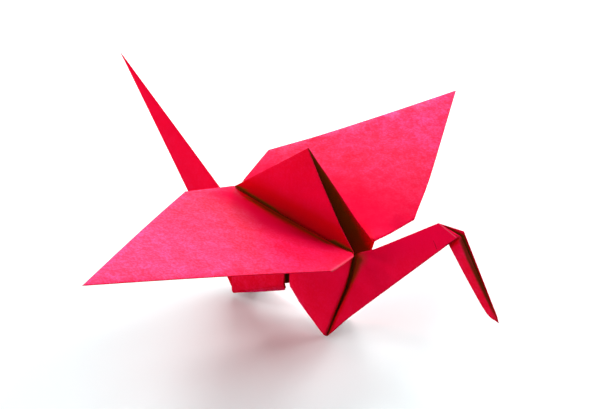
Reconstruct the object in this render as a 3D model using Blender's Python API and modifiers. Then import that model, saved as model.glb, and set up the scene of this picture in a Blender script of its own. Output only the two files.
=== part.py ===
"""An origami crane, folded from one square of thin red paper and left standing on its body.

The sheet is laid out as the flat panels between its creases. Each panel is placed in space and
drawn in a little from every crease. A rounded strip then bridges each crease, and a small patch
closes each place where creases cross, so the whole crane stays one sheet from corner to corner.

Flat places are given as (across, down): the distance from the crane's middle line and the distance
below the middle of the sheet, once the sheet is pressed flat and before the neck and tail turn up.
"""

import math

import bmesh
import bpy
from mathutils import Matrix, Vector
from mathutils.geometry import barycentric_transform

# Driving lengths, in metres.
SHEET_SIDE = 0.150
PAPER_THICKNESS = 0.00008
LAYER_STEP = 0.00011  # from the middle of one folded layer to the middle of the next
WING_ROLL = 0.00022  # inner radius where a wing turns out of its pocket
BODY_SLIT = 0.0014  # between the two hems that meet in the middle of a body side
WING_SLIT = 0.0004  # between the two raw edges that meet under a wing
INNER_MARGIN = 0.0016  # how far the inner layers of neck and tail stay below the spine

# Angles of the folded shape.
BODY_TILT = math.radians(5.3)  # each body side leans out from the top by this much
SIDES = {
    "near": {"sign": -1, "turn": math.radians(-1.8), "wing_rise": math.radians(11.5)},
    "far": {"sign": 1, "turn": math.radians(1.6), "wing_rise": math.radians(6.6)},
}
# Where each end's inside reverse fold starts, as a share of the half diagonal, and its slope.
ENDS = {
    "neck": {"sign": 1, "turn": math.radians(-4.9), "start_share": 0.328, "slope": math.radians(22.2)},
    "tail": {"sign": -1, "turn": math.radians(-7.2), "start_share": 0.341, "slope": math.radians(30.5)},
}
HEAD_START_SHARE = 0.780  # how far down the head's fold starts, as a share of the half diagonal
HEAD_EDGE_SHARE = 0.188  # from the beak's tip back to the fold, along the narrowed edge
HEAD_TURN = math.radians(8.3)  # the head looks aside by this much

STRIP_STEPS = 4  # flats round each crease
LEAST_TURN = math.radians(1)  # a gentler bend is drawn as if it turned this much

# The square and its standard creases.
HALF_DIAGONAL = SHEET_SIDE / math.sqrt(2)
NARROWING = math.pi / 16  # the crease that narrows neck and tail, from the middle line
TAPER = math.tan(NARROWING)
WING_TAPER = math.tan(math.pi / 8)
PETAL_DEPTH = HALF_DIAGONAL - SHEET_SIDE / 2
WING_REACH = SHEET_SIDE - HALF_DIAGONAL
SHOULDER_DEPTH = TAPER * HALF_DIAGONAL / (1 + TAPER)
WING_MIDDLE_LAYER = 2.5
HINGE_MARGIN = (WING_ROLL + (4 - WING_MIDDLE_LAYER) * LAYER_STEP) * math.pi / 4
FIRST_LAYER = 1.5  # layers between the middle plane and a body side, at the top
UP = Vector((0, 0, 1))


def across_at(down):
    """How far from the middle line the narrowing crease runs at this depth."""
    return TAPER * (HALF_DIAGONAL - down)


def flat_places(end):
    """The crossings of the creases on one quarter of the sheet, as (across, down)."""
    start = end["start_share"] * HALF_DIAGONAL
    slope = math.tan(end["slope"])
    heel = TAPER * (HALF_DIAGONAL - start) / (1 + TAPER * slope)
    corner_depth = (TAPER * HALF_DIAGONAL - WING_TAPER * WING_REACH) / (TAPER + WING_TAPER)
    corner = across_at(corner_depth)
    elbow = HALF_DIAGONAL - SHEET_SIDE / 2 / math.cos(math.pi / 8)
    nape = HEAD_START_SHARE * HALF_DIAGONAL
    edge = HEAD_EDGE_SHARE * HALF_DIAGONAL
    places = {
        "middle": (0, 0),
        "shoulder": (SHOULDER_DEPTH, SHOULDER_DEPTH),
        "hip": (across_at(PETAL_DEPTH), PETAL_DEPTH),
        "elbow": (0, elbow),
        "wing_corner": (corner, corner_depth),
        "wing_tip": (0, -WING_REACH),
        "root_fold": (corner - (SHOULDER_DEPTH - corner_depth), SHOULDER_DEPTH),
        "root_raw": (0, SHOULDER_DEPTH),
        "tip": (0, HALF_DIAGONAL),
    }
    places["root_top"] = places["root_under"] = places["shoulder"]
    places["heel_out"] = places["heel_in"] = (heel, start + heel * slope)
    places["cheek_out"] = places["cheek_in"] = (
        edge * math.sin(NARROWING),
        HALF_DIAGONAL - edge * math.cos(NARROWING),
    )
    for name in ("fork", "fork_fold", "fork_raw"):
        places[name] = (0, start)
    for name in ("nape", "nape_fold", "nape_raw"):
        places[name] = (0, nape)
    return {name: Vector(place) for name, place in places.items()}


# How far each panel is drawn in from a crease, in layer steps or as a length, at the two ends of
# the crease. The outermost of several nested folds reaches the crease itself.
BODY_HEM, WING_HEM, REVERSE, CHEEK = (steps * LAYER_STEP for steps in (3.5, 1.5, 5.5, 3.5))
MARGINS = {}


def set_margin(names, first, second=None):
    """Gives every crease in a list such as "a-b c-d" its margins at its first and second end."""
    for pair in names.split():
        one, two = pair.split("-")
        MARGINS[one, two] = (first, first if second is None else second)
        MARGINS[two, one] = MARGINS[one, two][::-1]


set_margin("shoulder-hip hip-root_top root_under-heel_in shoulder-heel_out", BODY_HEM)
set_margin("root_top-wing_corner root_under-wing_corner", WING_HEM)
set_margin("heel_out-cheek_out heel_in-cheek_in heel_out-tip heel_in-tip", WING_HEM)
set_margin("cheek_out-tip cheek_in-tip", WING_HEM)
set_margin("middle-shoulder shoulder-elbow hip-hip hip-elbow elbow-root_fold", LAYER_STEP)
set_margin("root_fold-wing_corner wing_corner-wing_tip middle-fork fork-nape", LAYER_STEP)
set_margin("fork-tip nape-tip nape_fold-tip nape_raw-tip", LAYER_STEP)
set_margin("root_top-root_top root_top-root_fold root_fold-root_under root_under-root_raw", HINGE_MARGIN)
set_margin("elbow-fork_fold", BODY_SLIT / 2 + WING_HEM)
set_margin("root_raw-fork_raw", BODY_SLIT / 2)
set_margin("wing_tip-root_raw", WING_SLIT / 2)
set_margin("fork-heel_out", REVERSE)
set_margin("fork_fold-heel_out fork_fold-heel_in fork_raw-heel_in", INNER_MARGIN, REVERSE)
set_margin("fork_fold-nape_fold fork_raw-nape_raw fork_fold-tip fork_raw-tip", INNER_MARGIN)
set_margin("nape-cheek_out", CHEEK)
set_margin("nape_fold-cheek_out nape_fold-cheek_in nape_raw-cheek_in", INNER_MARGIN, CHEEK)

# Each panel: what carries it, its place in the stack of layers, and its corners.
QUARTER_PANELS = [
    ("body", 5, "shoulder elbow hip"),
    ("body", 4, "hip elbow root_fold root_top"),
    ("wing", 4, "root_top root_fold wing_corner"),
    ("body", 3, "elbow fork_fold heel_in root_under root_fold"),
    ("wing", 3, "root_fold root_under wing_corner"),
    ("body", 2, "root_under root_raw fork_raw heel_in"),
    ("wing", 2, "root_under wing_corner wing_tip root_raw"),
    ("gusset", -1, "middle fork heel_out shoulder"),
    ("body", 6, "shoulder heel_out fork_fold elbow"),
]
NECK_PANELS = [
    ("leg", 0, "fork nape cheek_out heel_out"),
    ("leg", 3, "heel_out cheek_out nape_fold fork_fold"),
    ("leg", 2, "fork_fold nape_fold cheek_in heel_in"),
    ("leg", 1, "heel_in cheek_in nape_raw fork_raw"),
    ("head", 0, "nape tip cheek_out"),
    ("head", 3, "cheek_out tip nape_fold"),
    ("head", 2, "nape_fold tip cheek_in"),
    ("head", 1, "cheek_in tip nape_raw"),
]
TAIL_PANELS = [
    ("leg", 0, "fork tip heel_out"),
    ("leg", 3, "heel_out tip fork_fold"),
    ("leg", 2, "fork_fold tip heel_in"),
    ("leg", 1, "heel_in tip fork_raw"),
]
HALF_PANELS = [
    ("body", 0, ["middle", "neck shoulder", "neck hip", "tail hip", "tail shoulder"]),
    ("body", 1, ["neck hip", "neck root_top", "tail root_top", "tail hip"]),
    ("wing", 1, ["neck root_top", "neck wing_corner", "wing_tip", "tail wing_corner", "tail root_top"]),
]
SHARED_BY_ALL = {"middle"}
SHARED_BY_SIDES = {"fork", "nape", "tip"}
SHARED_BY_ENDS = {"wing_tip"}


def body_place(side, across, down, layer):
    """A point of a body side. Layer 0 is the hump, and higher layers lie further out."""
    out = (layer + FIRST_LAYER) * LAYER_STEP
    point = Vector((across, down * math.sin(BODY_TILT) + out * math.cos(BODY_TILT), 0))
    point.z = out * math.sin(BODY_TILT) - down * math.cos(BODY_TILT)
    point.y *= side["sign"]
    return Matrix.Rotation(side["turn"], 3, "Z") @ point


def wing_place(side, across, down, layer):
    """A point of a wing, which rolls out of the body side at the shoulder line."""
    up = Vector((0, -math.sin(BODY_TILT), math.cos(BODY_TILT)))
    out = Vector((0, math.cos(BODY_TILT), math.sin(BODY_TILT)))
    radius = WING_ROLL + (4 - layer) * LAYER_STEP
    centre = out * (WING_ROLL + (4 + FIRST_LAYER) * LAYER_STEP)
    centre -= up * (SHOULDER_DEPTH + HINGE_MARGIN)
    turn = math.pi / 2 + BODY_TILT - side["wing_rise"]
    heading = up * math.cos(turn) + out * math.sin(turn)
    arm = up * math.sin(turn) - out * math.cos(turn)
    point = centre + arm * radius + heading * (SHOULDER_DEPTH - HINGE_MARGIN - down)
    point.x = across
    point.y *= side["sign"]
    return Matrix.Rotation(side["turn"], 3, "Z") @ point


def wall(origin, along, target, outward):
    """Directions of a flat wall that holds a line and a point: along, across and out of the wall."""
    across = target - origin
    across = (across - along * across.dot(along)).normalized()
    normal = along.cross(across).normalized()
    return along, across, normal if normal.dot(outward) > 0 else -normal


def set_end(end):
    """Works out where the reverse folds carry an end of the crane, and keeps it in the end's values."""
    flat = flat_places(end)
    turned = Matrix.Rotation(end["turn"], 3, "Z")
    out, aside = turned @ Vector((end["sign"], 0, 0)), turned @ Vector((0, 1, 0))
    heel, fork = flat["heel_out"], flat["fork"]
    heels = {name: body_place(side, end["sign"] * heel.x, heel.y, -2) for name, side in SIDES.items()}
    reach = sum(point.dot(out) for point in heels.values()) / 2
    height = sum(point.z for point in heels.values()) / 2
    spread = sum(point.dot(aside) ** 2 for point in heels.values()) / 2
    crease = (heel - fork).length
    distance = math.hypot(reach, height)
    near = (fork.y ** 2 - crease ** 2 + spread + distance ** 2) / (2 * distance)
    off = math.sqrt(fork.y ** 2 - near ** 2)
    end["fork"] = out * ((reach * near + height * off) / distance)
    end["fork"] += UP * ((height * near - reach * off) / distance)
    drop = UP * height + out * reach - end["fork"]
    rise = math.atan2(drop.z, drop.dot(out)) + math.acos((heel - fork).y / drop.length)
    end["spine"] = out * math.cos(rise) + UP * math.sin(rise)
    end["aside"], end["flat"] = aside, flat
    end["walls"], end["hinges"] = {}, {}
    for name, side in SIDES.items():
        shift = aside * (side["sign"] * LAYER_STEP / 2)
        end["hinges"][name] = end["fork"] + shift
        end["walls"][name] = wall(end["hinges"][name], end["spine"], heels[name], shift)


def leg_place(end, side_name, across, down, layer):
    """A point of neck or tail. Layer 0 is the outer skin, and higher layers lie further in."""
    along, sideways, normal = end["walls"][side_name]
    point = end["hinges"][side_name] + along * (down - end["flat"]["fork"].y)
    return point + sideways * across - normal * (layer * LAYER_STEP)


def set_head(end):
    """Works out where the beak points, from the fold that turns it down inside the neck."""
    nape, cheek = end["flat"]["nape"], end["flat"]["cheek_out"]
    start = end["fork"] + end["spine"] * (nape.y - end["flat"]["fork"].y)
    out = end["aside"].cross(UP)
    cheeks = {name: leg_place(end, name, cheek.x, cheek.y, 7) for name in SIDES}
    middle = sum(cheeks.values(), Vector()) / 2 - start
    flat_reach = Vector((middle.dot(out), middle.z))
    share = min(1, (cheek - nape).y / flat_reach.length)
    rise = math.atan2(flat_reach.y, flat_reach.x) - math.acos(share)
    ahead = out * math.cos(rise) + UP * math.sin(rise)
    end["head"] = ahead * math.cos(HEAD_TURN) + end["aside"] * math.sin(HEAD_TURN)
    end["head_walls"], end["napes"] = {}, {}
    for name, side in SIDES.items():
        shift = end["aside"] * (side["sign"] * LAYER_STEP / 2)
        end["napes"][name] = start + shift
        end["head_walls"][name] = wall(start + shift, end["head"], cheeks[name], shift)


def head_place(end, side_name, across, down, layer):
    """A point of the head. Layer 0 is the inner skin, and higher layers lie further out."""
    along, sideways, normal = end["head_walls"][side_name]
    point = end["napes"][side_name] + along * (down - end["flat"]["nape"].y)
    return point + sideways * across + normal * (layer * LAYER_STEP)


def gusset_place(end, side_name, across, down, layer):
    """A point of the wall that closes the body's end, folded in to the fork."""
    flat = {name: place.to_3d() for name, place in end["flat"].items()}
    side = SIDES[side_name]
    half_step = end["aside"] * (side["sign"] * LAYER_STEP / 2)
    solid = {
        name: body_place(side, end["sign"] * flat[name].x, flat[name].y, layer)
        for name in ("shoulder", "heel_out")
    }
    solid |= {"middle": half_step, "fork": end["fork"] + half_step}
    fork, shoulder, point = end["flat"]["fork"], end["flat"]["shoulder"], Vector((across, down))
    above = (shoulder - fork).cross(point - fork) < 0
    names = ("middle" if above else "heel_out", "fork", "shoulder")
    return barycentric_transform(
        point.to_3d(), *(flat[name] for name in names), *(solid[name] for name in names)
    )


def key_of(name, end_name, side_name):
    """The one name that all panels use for a crossing of creases."""
    if name in SHARED_BY_ALL:
        return name
    if name in SHARED_BY_SIDES:
        return f"{end_name} {name}"
    if name in SHARED_BY_ENDS:
        return f"{side_name} {name}"
    return f"{side_name} {end_name} {name}"


def panels():
    """Every panel of the sheet, with its corners' keys, its flat outline and how to place it."""
    found = []
    for side_name, side in SIDES.items():
        for carrier, layer, corners in HALF_PANELS:
            words = [("neck " + corner).split()[-2:] for corner in corners]
            outline = [
                Vector((ENDS[end]["sign"] * ENDS[end]["flat"][name].x, ENDS[end]["flat"][name].y))
                for end, name in words
            ]
            place = body_place if carrier == "body" else wing_place
            found.append({
                "names": [name for _, name in words],
                "keys": [key_of(name, end, side_name) for end, name in words],
                "outline": outline,
                "place": lambda p, place=place, side=side, layer=layer: place(side, p.x, p.y, layer),
            })
        for end_name, end in ENDS.items():
            ending = NECK_PANELS if end_name == "neck" else TAIL_PANELS
            for carrier, layer, corners in QUARTER_PANELS + ending:
                names = corners.split()
                if carrier in ("body", "wing"):
                    place = body_place if carrier == "body" else wing_place
                    placed = lambda p, place=place, side=side, sign=end["sign"], layer=layer: place(
                        side, sign * p.x, p.y, layer
                    )
                else:
                    place = {"leg": leg_place, "head": head_place, "gusset": gusset_place}[carrier]
                    placed = lambda p, place=place, end=end, name=side_name, layer=layer: place(
                        end, name, p.x, p.y, layer
                    )
                found.append({
                    "names": names,
                    "keys": [key_of(name, end_name, side_name) for name in names],
                    "outline": [end["flat"][name] for name in names],
                    "place": placed,
                })
    return found


def meeting(a, b, c, d):
    """Where the line through a and b meets the line through c and d."""
    ab, cd = b - a, d - c
    return a + ab * ((c - a).cross(cd) / ab.cross(cd))


def draw_in(panel):
    """Adds the panel's corners, drawn in by each crease's margin, and the outward way at each edge."""
    outline, names = panel["outline"], panel["names"]
    count = len(outline)
    area = sum(outline[i - 1].cross(outline[i]) for i in range(count))
    lines, outwards = [], []
    for i in range(count):
        start, stop = outline[i], outline[(i + 1) % count]
        outward = Vector((stop.y - start.y, start.x - stop.x)).normalized() * math.copysign(1, area)
        first, second = MARGINS[names[i], names[(i + 1) % count]]
        lines.append((start - outward * first, stop - outward * second))
        outwards.append(outward)
    panel["corners"] = [meeting(*lines[i - 1], *lines[i]) for i in range(count)]
    panel["outwards"] = outwards


def curve(start, start_way, stop, stop_way, along):
    """Points of a round bend between two panels, each left in its own plane."""
    chord = stop - start
    width = (chord - along * chord.dot(along)).length
    turn = max(math.pi - start_way.angle(stop_way), LEAST_TURN)
    handle = width * 4 / 3 * math.tan(turn / 4) / (2 * math.sin(turn / 2))
    a, b = start + start_way * handle, stop + stop_way * handle
    points = []
    for step in range(1, STRIP_STEPS):
        t = step / STRIP_STEPS
        s = 1 - t
        points.append(start * s ** 3 + a * (3 * s * s * t) + b * (3 * s * t * t) + stop * t ** 3)
    return points


def folded_sheet():
    """The middle surface of the folded sheet as one mesh."""
    mesh = bmesh.new()
    sheet = panels()
    edges, around = {}, {}
    for number, panel in enumerate(sheet):
        draw_in(panel)
        panel["verts"] = [mesh.verts.new(panel["place"](corner)) for corner in panel["corners"]]
        count = len(panel["keys"])
        for i, key in enumerate(panel["keys"]):
            edges.setdefault(frozenset((key, panel["keys"][(i + 1) % count])), []).append((number, i))
            around.setdefault(key, []).append((number, i))
        face = mesh.faces.new(panel["verts"])
        if "fork" in panel["names"] and "shoulder" in panel["names"]:
            fork, shoulder = (panel["verts"][panel["names"].index(n)] for n in ("fork", "shoulder"))
            bmesh.utils.face_split(face, fork, shoulder)
    rows = {}
    for crease, users in edges.items():
        if len(users) == 2:
            add_strip(mesh, sheet, crease, users, rows)
    for key, users in around.items():
        add_patch(mesh, sheet, key, users, edges, rows)
    bmesh.ops.recalc_face_normals(mesh, faces=mesh.faces)
    return mesh


def way_out(panel, edge, corner):
    """The direction in space in which a panel leaves across one of its edges."""
    point, outward = panel["corners"][corner], panel["outwards"][edge]
    probe = outward * LAYER_STEP
    return (panel["place"](point) - panel["place"](point - probe)).normalized()


def add_strip(mesh, sheet, crease, users, rows):
    """Bridges two panels along their crease, and keeps the row of points at each end."""
    (one, first_edge), (two, second_edge) = ((sheet[number], edge) for number, edge in users)
    edge_ends = one["verts"][first_edge].co, one["verts"][(first_edge + 1) % len(one["verts"])].co
    along = (edge_ends[1] - edge_ends[0]).normalized()
    ends = []
    for key in crease:
        first, second = one["keys"].index(key), two["keys"].index(key)
        start, stop = one["verts"][first], two["verts"][second]
        ways = way_out(one, first_edge, first), way_out(two, second_edge, second)
        bend = curve(start.co, ways[0], stop.co, ways[1], along)
        row = [start, *(mesh.verts.new(point) for point in bend), stop]
        rows[key, users[0][0], users[1][0]] = row
        rows[key, users[1][0], users[0][0]] = row[::-1]
        ends.append(row)
    for i in range(STRIP_STEPS):
        mesh.faces.new((ends[0][i], ends[0][i + 1], ends[1][i + 1], ends[1][i])).smooth = True


def add_patch(mesh, sheet, key, users, edges, rows):
    """Closes the sheet where creases cross, or gathers it to a point at a corner of the square."""
    def neighbours(number, corner):
        panel = sheet[number]
        count = len(panel["keys"])
        for edge in ((corner - 1) % count, corner):
            pair = frozenset((panel["keys"][edge], panel["keys"][(edge + 1) % count]))
            for other, _ in edges[pair]:
                if other != number:
                    yield other
    links = {number: list(neighbours(number, corner)) for number, corner in users}
    raw = [number for number, near in links.items() if len(near) == 1]
    chain = [raw[0] if raw else users[0][0]]
    while len(chain) < len(links):
        chain.append(next(n for n in links[chain[-1]] if n not in chain[-2:] and n not in chain))
    if raw and len(chain) == 2:
        return
    if not raw:
        chain.append(chain[0])
    sides = [rows[key, one, two] for one, two in zip(chain, chain[1:])]
    if len(sides) == 4 and not raw:
        add_grid(mesh, sides)
        return
    ring = [sides[0][0]] + [vert for side in sides for vert in side[1:]]
    gathered = [sheet[number]["place"](sheet[number]["outline"][at]) for number, at in users]
    apex = mesh.verts.new(sum(gathered, Vector()) / len(gathered))
    for one, two in zip(ring, ring[1:]):
        mesh.faces.new((apex, one, two)).smooth = True


def add_grid(mesh, sides):
    """Fills a four sided gap with a grid that follows all four of its curved sides."""
    bottom, right, top, left = sides[0], sides[1], sides[2][::-1], sides[3][::-1]
    steps = STRIP_STEPS
    grid = [[None] * (steps + 1) for _ in range(steps + 1)]
    for i in range(steps + 1):
        for j in range(steps + 1):
            if j in (0, steps):
                grid[i][j] = (bottom if j == 0 else top)[i]
                continue
            if i in (0, steps):
                grid[i][j] = (left if i == 0 else right)[j]
                continue
            s, t = i / steps, j / steps
            point = bottom[i].co * (1 - t) + top[i].co * t + left[j].co * (1 - s) + right[j].co * s
            corners = (bottom[0].co * (1 - s) + bottom[-1].co * s) * (1 - t)
            corners += (top[0].co * (1 - s) + top[-1].co * s) * t
            grid[i][j] = mesh.verts.new(point - corners)
    for i in range(steps):
        for j in range(steps):
            square = (grid[i][j], grid[i + 1][j], grid[i + 1][j + 1], grid[i][j + 1])
            mesh.faces.new(square).smooth = True


def paper_material():
    """Matt red paper."""
    material = bpy.data.materials.new("red_paper")
    material.use_nodes = True
    shader = material.node_tree.nodes["Principled BSDF"]
    shader.inputs["Base Color"].default_value = (0.80, 0.004, 0.035, 1)
    shader.inputs["Roughness"].default_value = 0.75
    shader.inputs["Metallic"].default_value = 0
    return material


def stand(mesh):
    """Levels the crane on the heels of its folds and puts its base's middle at the origin."""
    heels = {
        name: sum((body_place(side, end["sign"] * end["flat"]["heel_out"].x, end["flat"]["heel_out"].y, 6)
                   for side in SIDES.values()), Vector()) / 2
        for name, end in ENDS.items()
    }
    run = heels["neck"] - heels["tail"]
    level = Matrix.Rotation(math.atan2(run.z, run.x), 4, "Y")
    bmesh.ops.transform(mesh, matrix=level, verts=mesh.verts)
    low = Vector([min(vert.co[axis] for vert in mesh.verts) for axis in range(3)])
    high = Vector([max(vert.co[axis] for vert in mesh.verts) for axis in range(3)])
    centre = Vector(((low.x + high.x) / 2, (low.y + high.y) / 2, low.z - PAPER_THICKNESS / 2))
    bmesh.ops.translate(mesh, vec=-centre, verts=mesh.verts)


def build():
    for thing in list(bpy.data.objects):
        bpy.data.objects.remove(thing)
    group = bpy.data.collections.new("origami_crane")
    bpy.context.scene.collection.children.link(group)
    for end in ENDS.values():
        set_end(end)
    set_head(ENDS["neck"])
    mesh = folded_sheet()
    stand(mesh)
    data = bpy.data.meshes.new("folded_sheet")
    mesh.to_mesh(data)
    mesh.free()
    data.materials.append(paper_material())
    crane = bpy.data.objects.new("folded_sheet", data)
    group.objects.link(crane)
    paper = crane.modifiers.new("paper", "SOLIDIFY")
    paper.thickness = PAPER_THICKNESS
    paper.offset = 0


build()
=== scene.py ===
import math

import bmesh
import bpy
import numpy as np
from mathutils import Matrix, Vector
from mathutils.bvhtree import BVHTree


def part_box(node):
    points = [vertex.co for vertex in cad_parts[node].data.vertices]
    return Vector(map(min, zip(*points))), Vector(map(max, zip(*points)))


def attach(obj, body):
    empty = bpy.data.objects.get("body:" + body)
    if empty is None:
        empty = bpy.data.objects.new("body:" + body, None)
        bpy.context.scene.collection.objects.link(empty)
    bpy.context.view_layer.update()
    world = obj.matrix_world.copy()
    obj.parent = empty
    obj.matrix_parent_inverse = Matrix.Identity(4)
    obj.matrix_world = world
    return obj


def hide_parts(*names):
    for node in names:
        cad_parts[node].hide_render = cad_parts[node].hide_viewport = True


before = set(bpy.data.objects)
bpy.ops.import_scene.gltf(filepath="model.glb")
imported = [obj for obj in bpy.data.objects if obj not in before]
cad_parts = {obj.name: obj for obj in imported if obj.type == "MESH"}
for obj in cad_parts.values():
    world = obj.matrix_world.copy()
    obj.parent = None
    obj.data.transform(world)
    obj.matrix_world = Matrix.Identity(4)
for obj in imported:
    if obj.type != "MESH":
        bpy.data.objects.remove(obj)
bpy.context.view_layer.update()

MM = 0.001

CAMERA_AT = Vector((158.386, -194.885, 157.182)) * MM
CAMERA_AZIMUTH = math.radians(37.994)
CAMERA_ELEVATION = math.radians(27.753)
CAMERA_ROLL = math.radians(-0.557)
CAMERA_LENS = 77.1  # in mm, on a sensor 36 mm wide


def add_camera():
    """A camera at the photograph's place and angle."""
    back = Vector((
        math.sin(CAMERA_AZIMUTH) * math.cos(CAMERA_ELEVATION),
        -math.cos(CAMERA_AZIMUTH) * math.cos(CAMERA_ELEVATION),
        math.sin(CAMERA_ELEVATION),
    ))
    right = Vector((math.cos(CAMERA_AZIMUTH), math.sin(CAMERA_AZIMUTH), 0))
    up = back.cross(right)
    turn = Matrix((right, up, back)).transposed().to_4x4() @ Matrix.Rotation(CAMERA_ROLL, 4, "Z")
    bpy.ops.object.camera_add()
    camera = bpy.context.object
    camera.matrix_world = Matrix.Translation(CAMERA_AT) @ turn
    camera.data.sensor_width = 36
    camera.data.lens = CAMERA_LENS
    camera.data.clip_start = 0.01
    camera.data.clip_end = 10
    bpy.context.scene.camera = camera


SAME_PLACE = 0.002 * MM
SAME_PANEL = math.radians(0.4)
ON_THE_CUT = 0.0005 * MM


def choose(thing):
    """Leaves only this object selected and active."""
    bpy.ops.object.select_all(action="DESELECT")
    thing.select_set(True)
    bpy.context.view_layer.objects.active = thing


def copy_of(node, name):
    """A loose copy of a CAD node, for a piece that will stand for it."""
    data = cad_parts[node].data.copy()
    data.name = name
    data.materials.clear()
    piece = bpy.data.objects.new(name, data)
    bpy.context.scene.collection.objects.link(piece)
    return piece


def join_up(piece):
    """Merges the loose triangles and gathers those of each flat panel into one face."""
    choose(piece)
    bpy.ops.object.mode_set(mode="EDIT")
    bpy.ops.mesh.select_all(action="SELECT")
    bpy.ops.mesh.remove_doubles(threshold=SAME_PLACE)
    bpy.ops.mesh.select_all(action="SELECT")
    bpy.ops.mesh.dissolve_limited(angle_limit=SAME_PANEL)
    bpy.ops.object.mode_set(mode="OBJECT")


def places_of(piece):
    """The places of a piece's vertices, one row each."""
    flat = np.empty(len(piece.data.vertices) * 3)
    piece.data.vertices.foreach_get("co", flat)
    return flat.reshape(-1, 3)


def set_places(piece, places):
    """Moves a piece's vertices to new places."""
    piece.data.vertices.foreach_set("co", places.ravel())
    piece.data.update()


def slice_across(piece, start, stop, pitch, within=None):
    """Cuts the sheet on evenly spaced planes from start to stop, only inside a box if one is given."""
    choose(piece)
    way = stop - start
    count = int(way.length / pitch)
    for i in range(1, count + 1):
        bpy.ops.object.mode_set(mode="EDIT")
        bpy.ops.mesh.select_all(action="SELECT")
        if within is not None:
            low, high = within
            mesh = bmesh.from_edit_mesh(piece.data)
            for face in mesh.faces:
                middle = face.calc_center_bounds() / MM
                face.select_set(all(low[axis] < middle[axis] < high[axis] for axis in range(3)))
            bmesh.update_edit_mesh(piece.data)
        place = start + way * (i / (count + 1))
        bpy.ops.mesh.bisect(plane_co=place, plane_no=way.normalized(), threshold=ON_THE_CUT)
    bpy.ops.object.mode_set(mode="OBJECT")


SLICE_PITCH = 3.5 * MM
# Finer cuts, in mm: the box that they keep to, the first plane, the last one and the pitch.
FINE_CUTS = (
    (((44, -9, 10), (56, 5, 36)), (41.4, -3.4, 35.5), (54.84, -1.37, 16.64), 0.9),  # the head
    (((-15, -8, 20), (25, 8, 31)), (0, 0, 21), (0, 0, 30), 0.9),  # the wings' roots
    (((-15, -8, 20), (25, 8, 31)), (0, -8, 0), (0, 8, 0), 0.9),
    (((12, -7, -1), (26, 7, 24)), (15.3, 0, 13.2), (22.8, 0, 10.4), 0.8),  # beside the neck
)


def slice_up(piece):
    """Cuts the sheet across, along and through, and finely where layers meet."""
    low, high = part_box("folded_sheet")
    for axis in range(3):
        start, stop = low.copy(), low.copy()
        stop[axis] = high[axis]
        slice_across(piece, start, stop, SLICE_PITCH)
    for within, start, stop, close in FINE_CUTS:
        slice_across(piece, Vector(start) * MM, Vector(stop) * MM, close * MM, within)


# Where the paper gives a little: the place, how far the pull reaches, and the pull, all in mm.
PULLS = (
    ((24.8, 15.0, 23.4), 9, (-0.50, -0.38, 0.0)),  # the far wing's front corner
    ((-15.1, 13.7, 28.4), 8, (-0.22, -0.17, 0.20)),  # the far wing's back corner
    ((24.9, -15.7, 24.4), 8, (-0.1, 0.0, 0.0)),  # the near wing's front corner
    ((-15.0, -14.3, 29.5), 8, (-0.20, 0.0, -0.25)),  # the near wing's back corner
    ((-0.4, -0.5, 5.0), 5, (0.60, 0.0, 0.45)),  # the middle of the body, where the hems meet
    ((22.2, 2.2, 22.2), 4, (0.2, 0.0, 0.6)),  # the far shoulder
    ((-11.0, -4.0, 3.0), 7, (-1.15, 0.0, 0.1)),  # the body's heel, below the tail
    ((3.4, -4.2, 8.0), 4.5, (0.95, 0.0, 0.35)),  # the notch between the body's two near panels
    ((15.3, -4.6, 0.8), 4.5, (0.6, -0.8, 0.0)),  # the front point that the crane stands on
    ((2.8, -4.2, 6.4), 2.5, (0.1, 0.0, 0.4)),  # the lowest part of the same notch
)


def pull_gently(places, pulls):
    """Moves all the layers together, less and less away from each pulled place."""
    moved = places.copy()
    for middle, reach, move in pulls:
        away = np.linalg.norm(places - np.array(middle) * MM, axis=1) / (reach * MM)
        moved += np.exp(-away ** 2)[:, None] * np.array(move) * MM
    return moved


HUMP_BACK = (-11.4 * MM, 26.7 * MM)  # x and z where the hump leaves the wings at the back
HUMP_FRONT = (22.0 * MM, 22.6 * MM)
HUMP_TOP = 43.5 * MM
HUMP_SINKS = 0.75 * MM
HUMP_SIDES = (7 * MM, 3 * MM)  # how far from the middle plane it sinks, and how softly that ends


def lower_hump(places):
    """Presses the hump down evenly, so that its edges stay straight."""
    moved = places.copy()
    root = np.interp(places[:, 0], *zip(HUMP_BACK, HUMP_FRONT))
    height = np.clip((places[:, 2] - root) / (HUMP_TOP - root), 0, 1)
    middle = np.clip((HUMP_SIDES[0] - np.abs(places[:, 1])) / HUMP_SIDES[1], 0, 1)
    within = (places[:, 0] > HUMP_BACK[0]) & (places[:, 0] < HUMP_FRONT[0])
    moved[:, 2] -= HUMP_SINKS * height * middle * within
    return moved


# How far the hump's near side opens at its front edge, in mm, and the share of it at each height.
NEAR_SIDE_OPENS = (-1.1, -0.85)
OPEN_SHARE = ((0.0, 0.0), (0.26, 0.5), (0.55, 0.74), (0.78, 0.97), (1.0, 1.0), (1.45, 0.0))
OPEN_SIDE_X = ((-14.0, 0.0), (-4.8, 0.2), (-3.4, 1.0), (-1.2, 1.0), (0.4, 0.0))
OPEN_SIDE_Y = ((-14.0, 0.0), (-4.8, 0.35), (-3.4, 1.0), (-1.2, 1.0), (0.4, 0.0))
OPEN_FADE = (0.6 * MM, 2.4 * MM)  # past the front edge: where the opening fades, and how softly
HUMP_APEX_X = 7.4 * MM


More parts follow.
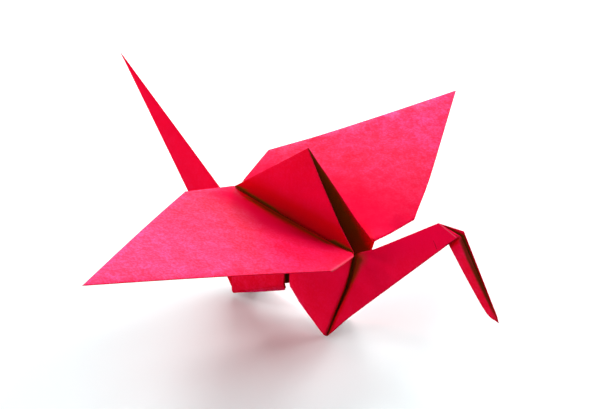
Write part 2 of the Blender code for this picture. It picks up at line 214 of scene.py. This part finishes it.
def open_near_side(places):
    """Swings the front edge of the hump's near side outwards, and the wing's root with it."""
    x, y, z = places.T
    drop = (HUMP_TOP - z) / (HUMP_TOP - HUMP_FRONT[1])
    climb = (z - HUMP_BACK[1]) / (HUMP_TOP - HUMP_BACK[1])
    ridge = HUMP_BACK[0] + climb * (HUMP_APEX_X - HUMP_BACK[0])
    edge = HUMP_APEX_X + drop * (HUMP_FRONT[0] - HUMP_APEX_X)
    across = np.clip((x - ridge) / np.maximum(edge - ridge, 1 * MM), 0, 1)
    across *= np.clip(1 - (x - edge - OPEN_FADE[0]) / OPEN_FADE[1], 0, 1)
    share = across * np.interp(drop, *zip(*OPEN_SHARE)) * MM
    moved = places.copy()
    moved[:, 0] += NEAR_SIDE_OPENS[0] * share * np.interp(y / MM, *zip(*OPEN_SIDE_X))
    moved[:, 1] += NEAR_SIDE_OPENS[1] * share * np.interp(y / MM, *zip(*OPEN_SIDE_Y))
    return moved


WING_ROOT = 3.4 * MM  # from the middle plane to the lowest part of a wing's root
ROOT_DIP = 0.40 * MM
ROOT_DIP_WIDTH = 1.5 * MM
ROOT_MIDDLE = 5 * MM
ROOT_HALF = 17 * MM
BELOW_WINGS = 15 * MM
WING_BOW = 0.35 * MM
WING_SPAN = (4 * MM, 58 * MM)  # where the bow starts, and how long it is


def bow_wings(places):
    """Sinks each wing a little where it leaves the body, and bows it along its length."""
    moved = places.copy()
    side = np.abs(places[:, 1])
    along = np.clip(1 - ((places[:, 0] - ROOT_MIDDLE) / ROOT_HALF) ** 2, 0, 1)
    near = np.exp(-((side - WING_ROOT) / ROOT_DIP_WIDTH) ** 2)
    above = places[:, 2] > BELOW_WINGS
    moved[:, 2] -= ROOT_DIP * near * along * above
    reach = np.clip((side - WING_SPAN[0]) / WING_SPAN[1], 0, 1)
    moved[:, 2] += WING_BOW * np.sin(math.pi * reach) * above * np.sign(-places[:, 1])
    return moved


NAPE = Vector((41.4, -3.4, 35.5)) * MM
CHEEKS = (Vector((46.3, -4.7, 34.6)) * MM, Vector((46.4, -2.2, 34.8)) * MM)
BEAK = Vector((54.84, -1.37, 16.64)) * MM
TURN_REACH = (2.3 * MM, 1.0 * MM)  # how near the head's fold a place is on it, at nape and cheek
# How far the head's folded edge stands out, in mm, from the nape to the beak's tip.
HEAD_FULLNESS = (
    (0.0, 0.0), (0.06, 0.1), (0.22, 0.62), (0.5, 1.1), (0.8, 1.45), (0.9, 1.35), (1.0, 0.0),
)


def head_vertices(piece):
    """The vertices from the beak's tip up to the fold that turns the head down."""
    mesh = bmesh.new()
    mesh.from_mesh(piece.data)

    def on_fold(place):
        for cheek in CHEEKS:
            way = cheek - NAPE
            share = min(1, max(0, (place - NAPE).dot(way) / way.length_squared))
            reach = TURN_REACH[0] + (TURN_REACH[1] - TURN_REACH[0]) * share
            if (place - NAPE - way * share).length < reach:
                return True
        return place.x < NAPE.x

    first = min(mesh.verts, key=lambda vert: (vert.co - BEAK).length)
    found, waiting = {first}, [first]
    while waiting:
        here = waiting.pop()
        for edge in here.link_edges:
            other = edge.other_vert(here)
            if other not in found and not on_fold(other.co):
                found.add(other)
                waiting.append(other)
    chosen = np.zeros(len(mesh.verts), bool)
    chosen[[vert.index for vert in found]] = True
    mesh.free()
    return chosen


def fill_out_head(piece, places):
    """Widens the head along its folded edge, which ends in a short blunt taper at the beak."""
    chosen = head_vertices(piece)
    axis = BEAK - NAPE
    length = axis.length
    axis = axis.normalized()
    cheek = (CHEEKS[0] + CHEEKS[1]) / 2
    inward = cheek - NAPE
    inward = inward - axis * inward.dot(axis)
    width = inward.length
    inward = inward.normalized()
    start = (cheek - NAPE).dot(axis) / length
    rel = places - np.array(NAPE)
    share = rel @ np.array(axis) / length
    across = rel @ np.array(inward)
    open_edge = width * np.clip((1 - share) / (1 - start), 0.02, 1.3)
    weight = np.clip(1 - across / open_edge, 0, 1)
    fullness = np.interp(share, *zip(*HEAD_FULLNESS)) * MM
    moved = places.copy()
    moved[chosen] -= ((fullness * weight)[:, None] * np.array(inward))[chosen]
    return moved


FOLD_WIDTH = 0.6 * MM
FOLD_BEND = math.radians(5)


def mark_folds(piece):
    """Marks the narrow faces that run round each fold, for the paper's wear and for painted shade along
    the folds.
    """
    mesh = bmesh.new()
    mesh.from_mesh(piece.data)
    layer = mesh.faces.layers.float.new("fold")
    for face in mesh.faces:
        longest = max(edge.calc_length() for edge in face.edges)
        narrow = face.calc_area() / longest < FOLD_WIDTH
        bent = [edge for edge in face.edges if edge.calc_face_angle(0) > FOLD_BEND]
        face[layer] = 1.0 if narrow and len(bent) >= 2 else 0.0
    mesh.to_mesh(piece.data)
    mesh.free()


RAYS = 48
CONE = math.radians(70)  # half the opening of the fan of rays
FACING = math.cos(math.radians(30))  # rays nearer to the middle of the fan look straight across
RAY_INSET = 0.12  # how far towards the face's middle the rays start
RAY_LIFT = 0.012 * MM
ACROSS = 7 * MM  # paper nearer than this, straight across, shuts a place in
CLOSE = 1.2 * MM
AROUND = 12 * MM  # paper nearer than this stands round a place
ACROSS_WEIGHT = 0.9
CLOSE_WEIGHT = 0.6
BARE_NECK = (22.6 * MM, 43.0 * MM)  # from x to x, where nothing covers the neck
ROOTS_X = (-16 * MM, 16 * MM, 24 * MM)  # the wings' roots begin, and the near and the far one end
ROOTS_Y = (-2.6 * MM, 1.5 * MM)
ROOTS_Z = 16.5 * MM
ROOTS_SHUT = 0.2  # the share of the crevice mark that stays there
# The space between the hump's sides, in mm, and how the mark deepens behind its front edge.
HUMP_SPACE = ((6.5, 24), (-0.6, 3.2), (18.5, 43.2))
HUMP_EDGE = (7.4, 43.5, 0.66)  # x and z at the top, and x gained for each z down
HUMP_DEPTH = (0.46, 0.18)  # the mark at the edge, and gained for each mm behind it
UNDERSIDE = -0.6  # faces that point down more than this carry no marks


def fan_of_rays():
    """Directions spread evenly over a cone about Z."""
    golden = math.pi * (3 - math.sqrt(5))
    fan = []
    for i in range(RAYS):
        rise = 1 - (1 - math.cos(CONE)) * (i + 0.5) / RAYS
        flat = math.sqrt(1 - rise * rise)
        fan.append(Vector((flat * math.cos(golden * i), flat * math.sin(golden * i), rise)))
    return fan


FAN = fan_of_rays()
STRAIGHT = [ray.z > FACING for ray in FAN]


def inside_hump(place, normal):
    """How deep a place is on the far panel's inner face, between the hump's two sides, for the painted
    shade there.
    """
    here = place / MM
    within = all(low < part < high for part, (low, high) in zip(here, HUMP_SPACE))
    if normal.y > -0.8 or not within:
        return 0.0
    edge = HUMP_EDGE[0] + (HUMP_EDGE[1] - here.z) * HUMP_EDGE[2]
    return min(1.0, HUMP_DEPTH[0] + HUMP_DEPTH[1] * max(0.0, edge - here.x))


def at_wing_root(place):
    """Whether a place is on a wing's root or on the small folds below it, which stay red."""
    near = place.y < ROOTS_Y[0] and place.x < ROOTS_X[1]
    far = place.y > ROOTS_Y[1] and place.x < ROOTS_X[2]
    return (near or far) and place.x > ROOTS_X[0] and place.z > ROOTS_Z


def look_around(tree, start, rays):
    """How shut in a place is, and how much paper stands round it."""
    away = [tree.ray_cast(start, ray, AROUND)[3] for ray in rays]
    across = sum(1 for gap, level in zip(away, STRAIGHT) if level and gap is not None and gap < ACROSS)
    close = sum(1 - gap / CLOSE for gap in away if gap is not None and gap < CLOSE)
    around = sum(1 - gap / AROUND for gap in away if gap is not None)
    shut = ACROSS_WEIGHT * across / sum(STRAIGHT) + CLOSE_WEIGHT * close / RAYS
    return shut, around / RAYS


def mark_crevices(piece):
    """Marks each corner of the faces that don't point down, by the paper across and round it, for the
    painted shade in crevices and round them.
    """
    data = piece.data
    tree = BVHTree.FromObject(piece, bpy.context.evaluated_depsgraph_get())
    marks = np.zeros((3, len(data.loops)))
    known = {}
    for face in data.polygons:
        if face.normal.z < UNDERSIDE:
            continue
        facing = tuple(round(part, 1) for part in face.normal)
        rays = None
        for loop in face.loop_indices:
            vertex = data.loops[loop].vertex_index
            if (vertex, facing) not in known:
                if rays is None:
                    turn = face.normal.to_track_quat("Z", "Y").to_matrix()
                    rays = [turn @ ray for ray in FAN]
                corner = data.vertices[vertex].co
                start = corner.lerp(face.center, RAY_INSET) + face.normal * RAY_LIFT
                shut, around = look_around(tree, start, rays)
                if at_wing_root(corner):
                    shut *= ROOTS_SHUT
                shut = inside_hump(corner, face.normal) or min(1, shut)
                bare = BARE_NECK[0] < corner.x < BARE_NECK[1]
                known[vertex, facing] = (0, 0, 1) if bare else (shut, around, 1)
            marks[:, loop] = known[vertex, facing]
    for name, mark in zip(("crevice", "shade", "topside"), marks):
        data.attributes.new(name, "FLOAT", "CORNER").data.foreach_set("value", mark)


def mixed(nodes, links, share, first, second):
    """A colour mixed from two by a share. Each may be a socket or a plain value."""
    mix = nodes.new("ShaderNodeMix")
    mix.data_type = "RGBA"
    for socket, value in ((mix.inputs[0], share), (mix.inputs[6], first), (mix.inputs[7], second)):
        if isinstance(value, bpy.types.NodeSocket):
            links.new(value, socket)
        else:
            socket.default_value = value
    return mix.outputs[2]


def between(nodes, links, value, low, high, to_low=0.0, to_high=1.0):
    """A value carried from one range to another, and held at the ends."""
    node = nodes.new("ShaderNodeMapRange")
    node.interpolation_type = "SMOOTHSTEP"
    node.inputs["From Min"].default_value = low
    node.inputs["From Max"].default_value = high
    node.inputs["To Min"].default_value = to_low
    node.inputs["To Max"].default_value = to_high
    links.new(value, node.inputs["Value"])
    return node.outputs["Result"]


def noise(nodes, links, place, scale, detail, roughness):
    """A cloudy pattern, its scale in spots to the metre."""
    node = nodes.new("ShaderNodeTexNoise")
    node.inputs["Scale"].default_value = scale
    node.inputs["Detail"].default_value = detail
    node.inputs["Roughness"].default_value = roughness
    links.new(place, node.inputs["Vector"])
    return node.outputs["Fac"]


def mark_on(nodes, name):
    """A mark that the mesh carries."""
    node = nodes.new("ShaderNodeAttribute")
    node.attribute_name = name
    return node.outputs["Fac"]


def sums(nodes, links, operation, first, second, held=True):
    """Two numbers put together, each a socket or a plain value."""
    node = nodes.new("ShaderNodeMath")
    node.operation = operation
    node.use_clamp = held
    for socket, value in zip(node.inputs, (first, second)):
        if isinstance(value, bpy.types.NodeSocket):
            links.new(value, socket)
        else:
            socket.default_value = value
    return node.outputs[0]


def line_mark_group():
    """A group of nodes: 1 on a straight line on the sheet, falling softly to 0 beside it."""
    group = bpy.data.node_groups.new("line_mark", "ShaderNodeTree")
    sockets = group.interface
    for name, kind in (("Place", "Vector"), ("Start", "Vector"), ("End", "Vector"),
                       ("Start Width", "Float"), ("End Width", "Float"), ("Strength", "Float")):
        sockets.new_socket(name, in_out="INPUT", socket_type="NodeSocket" + kind)
    sockets.new_socket("Mark", in_out="OUTPUT", socket_type="NodeSocketFloat")
    nodes, links = group.nodes, group.links
    given = nodes.new("NodeGroupInput").outputs
    out = nodes.new("NodeGroupOutput")

    def vector(operation, first, second):
        node = nodes.new("ShaderNodeVectorMath")
        node.operation = operation
        links.new(first, node.inputs[0])
        links.new(second, node.inputs["Scale"] if operation == "SCALE" else node.inputs[1])
        one_number = operation in ("DOT_PRODUCT", "DISTANCE")
        return node.outputs["Value" if one_number else "Vector"]

    def number(operation, first, second, held=False):
        return sums(nodes, links, operation, first, second, held)

    way = vector("SUBTRACT", given["End"], given["Start"])
    rel = vector("SUBTRACT", given["Place"], given["Start"])
    along, whole = vector("DOT_PRODUCT", rel, way), vector("DOT_PRODUCT", way, way)
    share = number("DIVIDE", along, whole, held=True)
    nearest = vector("SCALE", way, share)
    away = vector("DISTANCE", rel, nearest)
    width = nodes.new("ShaderNodeMix")
    links.new(share, width.inputs[0])
    links.new(given["Start Width"], width.inputs[2])
    links.new(given["End Width"], width.inputs[3])
    fall = between(nodes, links, number("DIVIDE", away, width.outputs[0]), 0, 1, 1, 0)
    links.new(number("MULTIPLY", fall, given["Strength"]), out.inputs["Mark"])
    return group


# Marks along lines, in mm: the line's two ends, the width beside it at each end, and the strength.
# Painted shade: dark lines in the gaps where the near wing leaves the hump, beside the neck and along
# the head's open edges.
GAP_SHADE_LINES = (
    ((-11.4, -2.5, 26.7), (12.0, -3.5, 23.0), 0.4, 0.5, 0.97),  # where the near wing leaves the hump
    ((12.0, -3.5, 23.0), (20.6, -4.6, 22.5), 0.5, 0.4, 0.97),
    ((22.3, -3.4, 20.6), (19.6, -3.4, 12.5), 1.6, 0.9, 0.85),  # the neck beside the body
    ((19.6, -3.4, 12.5), (15.6, -4.2, 2.2), 0.9, 0.35, 0.8),
    ((42.6, -3.1, 35.3), (46.9, -3.7, 34.7), 0.2, 0.95, 0.95),  # the open edges of the head
    ((47.1, -4.0, 33.9), (48.5, -3.6, 30.2), 0.95, 0.95, 0.95),
    ((48.5, -3.6, 30.2), (51.7, -2.7, 23.8), 0.95, 0.85, 0.95),
    ((51.7, -2.7, 23.8), (53.9, -1.9, 19.2), 0.8, 0.3, 0.92),
)
# Painted shadow, brown: the hump's shadow on the near wing beside the gap, and the shadow on the neck
# beside the body.
SHADOW_BROWN_LINES = (
    ((-7.0, -3.9, 25.7), (3.0, -4.6, 24.4), 1.4, 3.0, 0.95),  # beside the dark line, on the wing
    ((3.0, -4.6, 24.4), (16.0, -5.6, 23.3), 3.0, 1.2, 0.95),
    ((22.6, -2.4, 20.8), (20.6, -3.0, 15.0), 2.8, 1.0, 0.6),
)
SHADE_LINES = (
    ((-9.0, -7.0, 26.4), (4.0, -8.6, 25.0), 8.5, 11.5, 1.0),  # the wing's part that the hump shades
    ((4.0, -8.6, 25.0), (17.0, -7.4, 23.6), 11.5, 4.5, 1.0),
    ((-8.0, 5.0, 26.0), (19.0, 6.0, 22.6), 12.0, 34.0, 0.85),  # the far wing's root
    ((30.0, -3.5, 26.0), (46.0, -3.5, 36.0), 6.0, 9.0, 0.8),  # the neck
)
# Painted light: the tail is made lighter in colour.
TAIL_LIGHT_LINES = (
    ((-16.0, 1.5, 20.0), (-56.0, 6.5, 46.0), 14.0, 10.0, 1.0),  # the tail, lightened with painted light
)
# Painted highlights along the head's fold and the near wing's front edge.
HIGHLIGHT_LINES = (
    ((41.6, -3.5, 35.5), (46.2, -4.7, 34.6), 0.16, 0.18, 0.9),  # the fold that turns the head down
    ((22.6, -5.4, 22.6), (25.0, -15.4, 24.6), 0.4, 1.0, 0.28),  # the near wing's front edge
)
# Painted shade: dark lines in a small crimp on the neck and in the crease under the neck's end.
CRIMP_SHADE_LINES = (
    ((40.84, -4.13, 31.7), (41.5, -4.42, 31.0), 0.14, 0.2, 0.6),  # a small crimp on the neck
    ((41.5, -4.42, 31.0), (41.92, -4.59, 30.5), 0.2, 0.14, 0.8),
    ((43.9, -4.6, 31.9), (46.4, -4.75, 34.3), 0.26, 0.2, 0.95),  # under the neck's end
)


def line_marks(nodes, links, group, place, lines):
    """The strongest of the marks along several lines."""
    strongest = None
    for start, stop, first, last, strength in lines:
        node = nodes.new("ShaderNodeGroup")
        node.node_tree = group
        links.new(place, node.inputs["Place"])
        node.inputs["Start"].default_value = [value * MM for value in start]
        node.inputs["End"].default_value = [value * MM for value in stop]
        node.inputs["Start Width"].default_value = first * MM
        node.inputs["End Width"].default_value = last * MM
        node.inputs["Strength"].default_value = strength
        mark = node.outputs["Mark"]
        strongest = mark if strongest is None else sums(nodes, links, "MAXIMUM", strongest, mark, False)
    return strongest


# The paper's patterns: spots to the metre, detail and roughness.
CLOUD = (110, 4, 0.62)
BLOTCH = (420, 4, 0.6)
FIBRE = (1800, 3, 0.7)
WEAR = (420, 3, 0.5)

# The paper's colours, and the painted shade, shadow and light that are mixed over them.
CLOUD_RED = (0.70, 0.0005, 0.012, 1)
CLEAR_RED = (0.80, 0.001, 0.024, 1)
FIBRE_RED = (0.90, 0.010, 0.07, 1)
FOLD_SHADE_RED = (0.42, 0.001, 0.010, 1)
WORN_PINK = (0.95, 0.08, 0.20, 1)
HIGHLIGHT_PINK = (0.95, 0.34, 0.46, 1)
PAINTED_LIGHT_RED = (0.98, 0.0008, 0.030, 1)
SHADE_ROSE = (0.70, 0.001, 0.042, 1)
SHADE_RED = (0.62, 0.001, 0.008, 1)
SHADE_BROWN = (0.17, 0.030, 0.001, 1)
CREVICE_SHADE_BROWN = (0.20, 0.045, 0.002, 1)
# painted shade in the gaps
GAP_SHADE_BLACK = (0.06, 0.016, 0.001, 1)
CRIMP_SHADE_DARK = (0.16, 0.003, 0.003, 1)

# The soft pink sheen of the fibres that stand up.
GLOSS = 0.125
GLOSS_TINT = (1.0, 0.2, 0.8, 1)
SHEEN_TINT = (0.8, 0.13, 0.9, 1)
SHEEN_REACH = (4 * MM, 60 * MM)  # from the middle plane, from its least to its most
SHEEN_LEAST = 0.42
EVEN_WING = (-12 * MM, 12 * MM)  # the near wing is less blotched than the far one
TOOTH_DEPTH = 0.05 * MM


def red_paper():
    """Dyed red paper: a cloudy fibre formation, a fine tooth, worn folds and a soft sheen, with shade,
    shadow, highlights and light painted into its colour.
    """
    material = bpy.data.materials.new("red_paper_fibre")
    material.use_nodes = True
    nodes, links = material.node_tree.nodes, material.node_tree.links
    shader = nodes["Principled BSDF"]
    place = nodes.new("ShaderNodeTexCoord").outputs["Object"]
    fold, crevice, shade, topside = (
        mark_on(nodes, name) for name in ("fold", "crevice", "shade", "topside"))
    cloud, blotch, fibre, wear = (
        noise(nodes, links, place, *pattern) for pattern in (CLOUD, BLOTCH, FIBRE, WEAR))

    def held(value, low, high, to_low=0.0, to_high=1.0):
        return between(nodes, links, value, low, high, to_low, to_high)

    def times(first, second):
        return sums(nodes, links, "MULTIPLY", first, second)

    def most(first, second):
        return sums(nodes, links, "MAXIMUM", first, second)

    def less(value):
        return sums(nodes, links, "SUBTRACT", 1.0, value)

    group = line_mark_group()
    gap_shade, rose, brown_shadow, tail_light, pale, crimp = (
        line_marks(nodes, links, group, place, lines)
        for lines in (GAP_SHADE_LINES, SHADE_LINES, SHADOW_BROWN_LINES, TAIL_LIGHT_LINES, HIGHLIGHT_LINES, CRIMP_SHADE_LINES))
    gap_shade, rose, brown_shadow = (times(mark, topside) for mark in (gap_shade, rose, brown_shadow))
    # Painted shade: brown in the crevices and inside the hump.
    deep = held(crevice, 0.4, 0.8, 0, 0.97)
    dim = held(shade, 0.02, 0.24)
    worn = times(fold, held(wear, 0.42, 0.66, 0.0, 0.10))

    colour = mixed(nodes, links, held(cloud, 0.32, 0.68), CLOUD_RED, CLEAR_RED)
    for mark, tint in (
        (held(fibre, 0.45, 0.75, 0, 0.22), FIBRE_RED),
        # painted shade along the folds
        (times(fold, 0.35), FOLD_SHADE_RED),
        (worn, WORN_PINK),
        # painted highlights
        (pale, HIGHLIGHT_PINK),
        # painted light on the tail
        (tail_light, PAINTED_LIGHT_RED),
        (rose, SHADE_ROSE),
        (dim, SHADE_RED),
        # painted shadow, brown
        (brown_shadow, SHADE_BROWN),
        # painted shade in the crevices
        (deep, CREVICE_SHADE_BROWN),
        # painted shade in the gaps
        (gap_shade, GAP_SHADE_BLACK),
        # painted shade in the crimps
        (crimp, CRIMP_SHADE_DARK),
    ):
        colour = mixed(nodes, links, mark, colour, tint)
    links.new(colour, shader.inputs["Base Color"])

    bump = nodes.new("ShaderNodeBump")
    bump.inputs["Strength"].default_value = 0.4
    bump.inputs["Distance"].default_value = TOOTH_DEPTH
    links.new(fibre, bump.inputs["Height"])
    links.new(bump.outputs["Normal"], shader.inputs["Normal"])

    parts = nodes.new("ShaderNodeSeparateXYZ")
    links.new(place, parts.inputs[0])
    aside = nodes.new("ShaderNodeMath")
    aside.operation = "ABSOLUTE"
    links.new(parts.outputs["Y"], aside.inputs[0])
    # The sheen and gloss are taken away where shade and shadow are painted.
    open_share = less(most(most(dim, brown_shadow), most(most(deep, gap_shade), rose)))
    for share in (
        held(aside.outputs[0], *SHEEN_REACH, SHEEN_LEAST, 1.0),
        less(times(fold, 0.92)),
        held(cloud, 0.36, 0.64, 0.8, 1.0),
        most(held(blotch, 0.38, 0.62, 0.55, 1.0), held(parts.outputs["Y"], *EVEN_WING, 0.7, 0.0)),
        held(fibre, 0.41, 0.59, 0.5, 1.0),
    ):
        open_share = times(open_share, share)
    links.new(times(open_share, GLOSS), shader.inputs["Specular IOR Level"])
    links.new(open_share, shader.inputs["Sheen Weight"])
    shader.inputs["Specular Tint"].default_value = GLOSS_TINT
    shader.inputs["Sheen Tint"].default_value = SHEEN_TINT
    shader.inputs["Sheen Roughness"].default_value = 0.5
    shader.inputs["Roughness"].default_value = 0.6
    return material


SMOOTH_UP_TO = math.radians(50)


def folded_crane():
    """The crane's folded sheet, with the slight bends and wear of real paper, and with shade and light
    painted into its colour.
    """
    piece = copy_of("folded_sheet", "crane_paper")
    join_up(piece)
    mark_folds(piece)
    slice_up(piece)
    places = fill_out_head(piece, places_of(piece))
    places = bow_wings(open_near_side(lower_hump(places)))
    set_places(piece, pull_gently(places, PULLS))
    mark_crevices(piece)
    piece.data.materials.append(red_paper())
    choose(piece)
    bpy.ops.object.shade_smooth_by_angle(angle=SMOOTH_UP_TO)
    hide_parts("folded_sheet")
    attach(piece, "root")


FLOOR_GREY = (0.50, 0.50, 0.50, 1)
FLOOR_SEEN = (0.80, 0.88, 0.89, 1)


def add_floor():
    """A plain pale floor that stays white to the camera and keeps the crane's soft shadow."""
    bpy.ops.mesh.primitive_plane_add(size=6, location=(0, 0, 0))
    floor = bpy.context.object
    floor.name = "floor"
    material = bpy.data.materials.new("pale_floor")
    material.use_nodes = True
    nodes, links = material.node_tree.nodes, material.node_tree.links
    nodes.clear()
    out = nodes.new("ShaderNodeOutputMaterial")
    chalk = nodes.new("ShaderNodeBsdfDiffuse")
    path = nodes.new("ShaderNodeLightPath")
    tone = mixed(nodes, links, path.outputs["Is Camera Ray"], FLOOR_GREY, FLOOR_SEEN)
    links.new(tone, chalk.inputs["Color"])
    links.new(chalk.outputs[0], out.inputs["Surface"])
    floor.data.materials.append(material)


# A long window behind the crane, and weak lamps round it: azimuth, elevation, size and power.
LAMPS = (
    ("window_1", 140, 21, 0.6, 19.0),
    ("window_2", 160, 27, 0.6, 15.4),
    ("window_3", 180, 20, 0.6, 23.3),
    ("window_4", 205, 22, 0.6, 10.4),
    ("window_5", 221, 20, 0.6, 19.0),
    ("high", 226, 45, 0.7, 18.0),
    ("left", 240, 30, 0.6, 6.6),
    ("front", 330, 12, 0.6, 21.0),
    ("front_left", 300, 35, 0.8, 9.4),
    ("right", 90, 35, 0.8, 3.9),
    ("top", 0, 65, 0.8, 5.8),
)
LAMP_DISTANCE = 2.0
LAMPS_LOOK_AT = Vector((0, 0, 20)) * MM
WORLD_STRENGTH = 0.02


def add_lamp(name, azimuth, elevation, size, power):
    """A square soft lamp that faces the crane from a direction of the view."""
    a, e = math.radians(azimuth), math.radians(elevation)
    back = Vector((math.sin(a) * math.cos(e), -math.cos(a) * math.cos(e), math.sin(e)))
    bpy.ops.object.light_add(type="AREA", location=back * LAMP_DISTANCE + LAMPS_LOOK_AT)
    lamp = bpy.context.object
    lamp.name = name
    lamp.rotation_mode = "QUATERNION"
    lamp.rotation_quaternion = back.to_track_quat("Z", "Y")
    lamp.data.shape = "SQUARE"
    lamp.data.size = size
    lamp.data.energy = power


def add_world():
    """An even pale surround."""
    world = bpy.data.worlds.new("studio")
    bpy.context.scene.world = world
    world.use_nodes = True
    ground = world.node_tree.nodes["Background"]
    ground.inputs["Color"].default_value = (1, 1, 1, 1)
    ground.inputs["Strength"].default_value = WORLD_STRENGTH


def add_lights():
    """The pale surround and all the lamps."""
    add_world()
    for lamp in LAMPS:
        add_lamp(*lamp)


add_camera()
add_floor()
add_lights()
folded_crane()

bpy.context.scene.view_settings.view_transform = "Standard"
